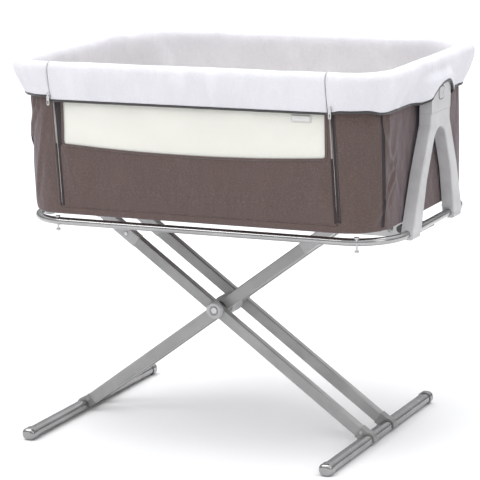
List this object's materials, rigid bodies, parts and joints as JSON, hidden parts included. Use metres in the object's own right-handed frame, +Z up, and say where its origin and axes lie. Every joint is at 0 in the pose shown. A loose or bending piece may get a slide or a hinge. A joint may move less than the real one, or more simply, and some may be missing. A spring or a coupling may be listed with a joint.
{
  "type": "bassinet on stand",
  "caption": "Bassinet with a zip-down mesh side and a padded rim, hung between two forked end uprights on a tube hoop and a folding scissor stand.",
  "frame": {"origin": "on the floor under the middle of the basket", "axes": "+X along the basket to its right end, +Y to the rear, -Y is the drop side, +Z up"},
  "size_m": [0.998, 0.652, 0.925],
  "materials": {
    "silver_tube": "satin silver paint",
    "grey_leg": "satin mid-grey paint",
    "steel": "zinc-plated steel",
    "light_plastic": "light grey moulded plastic",
    "dark_plastic": "dark grey moulded plastic",
    "brown_fabric": "woven grey-brown cloth",
    "cream_fabric": "soft cream cloth",
    "white_fabric": "white cotton cloth",
    "dark_piping": "dark corded piping",
    "mesh": "fine cream mesh",
    "tag": "plain woven tag",
    "board": "hardboard sheet",
    "zip_tape": "woven zip tape",
    "zip_metal": "nickel-plated zip parts"
  },
  "bodies": {
    "frame": {"base_hoop": "silver_tube", "hoop_joiner": "silver_tube", "cross_tube_left": "silver_tube", "cross_tube_right": "silver_tube", "cross_tube_caps": "dark_plastic", "hoop_bolts": "steel", "hoop_bolt_nuts": "steel", "height_rails": "silver_tube", "end_upright_left": "light_plastic", "end_upright_right": "light_plastic", "upright_head_left": "light_plastic", "upright_head_right": "light_plastic", "button_springs": "steel", "tube_clamps": "light_plastic", "clamp_screws": "steel"},
    "outer_legs": {"outer_leg_front": "grey_leg", "outer_leg_rear": "grey_leg", "outer_leg_heads": "light_plastic", "outer_leg_saddles": "grey_leg", "outer_leg_screws": "steel", "scissor_axle": "steel", "pivot_washers": "dark_plastic", "pivot_caps": "light_plastic", "pivot_nuts": "steel", "foot_bar_right": "silver_tube", "foot_caps_right": "silver_tube"},
    "inner_legs": {"inner_leg_front": "grey_leg", "inner_leg_rear": "grey_leg", "inner_leg_heads": "light_plastic", "inner_leg_saddles": "grey_leg", "inner_leg_screws": "steel", "pivot_hub": "light_plastic", "height_rod": "steel", "foot_bar_left": "silver_tube", "foot_caps_left": "silver_tube"},
    "basket": {"rim_tube": "silver_tube", "rim_end_plugs": "dark_plastic", "rim_brackets": "dark_plastic", "basket_fabric": "brown_fabric", "basket_lining": "cream_fabric", "base_board": "board", "rim_cover": "white_fabric", "rim_piping": "dark_piping", "zip_tapes": "zip_tape"},
    "drop_side": {"front_rail": "silver_tube", "front_rail_plugs": "dark_plastic", "front_rail_cover": "white_fabric", "front_rail_piping": "dark_piping", "drop_panel": "brown_fabric", "mesh_window": "mesh", "label_tag": "tag"},
    "zip_left": {"zip_slider_left": "zip_metal", "zip_pull_left": "zip_metal"},
    "zip_right": {"zip_slider_right": "zip_metal", "zip_pull_right": "zip_metal"},
    "button_left": {"release_button_left": "light_plastic"},
    "button_right": {"release_button_right": "light_plastic"},
    "mattress": {"mattress": "cream_fabric"}
  },
  "joints": [
    {"name": "stand_fold", "type": "hinge", "parent": "frame", "child": "outer_legs", "pos_m": [-0.368, 0, 0.5219], "axis": [0, -1, 0], "range_deg": [0, 25]},
    {"name": "inner_legs_fold", "type": "hinge", "parent": "outer_legs", "child": "inner_legs", "pos_m": [-0.06219, 0, 0.29972], "axis": [0, 1, 0], "range_deg": [0, 50]},
    {"name": "basket_lift", "type": "slide", "parent": "frame", "child": "basket", "axis": [0, 0, 1], "range_m": [0, 0.15]},
    {"name": "drop_side_fold", "type": "hinge", "parent": "basket", "child": "drop_side", "pos_m": [0, -0.3008, 0.58], "axis": [1, 0, 0], "range_deg": [0, 170]},
    {"name": "zip_left_slide", "type": "slide", "parent": "basket", "child": "zip_left", "axis": [0.042, 0.042, -0.9982], "range_m": [0, 0.225]},
    {"name": "zip_right_slide", "type": "slide", "parent": "basket", "child": "zip_right", "axis": [0.042, 0.042, -0.9982], "range_m": [0, 0.225]},
    {"name": "button_left_press", "type": "slide", "parent": "frame", "child": "button_left", "axis": [0.9994, 0, 0.0349], "range_m": [0, 0.004], "stiffness_N_per_m": 600, "springref_m": -0.003},
    {"name": "button_right_press", "type": "slide", "parent": "frame", "child": "button_right", "axis": [-0.9994, 0, 0.0349], "range_m": [0, 0.004], "stiffness_N_per_m": 600, "springref_m": -0.003},
    {"name": "mattress_lift", "type": "slide", "parent": "basket", "child": "mattress", "axis": [0, 0, 1], "range_m": [0, 0.3]}
  ],
  "couplings": [
    {"joint": "inner_legs_fold", "follows": "stand_fold", "ratio": 2}
  ]
}
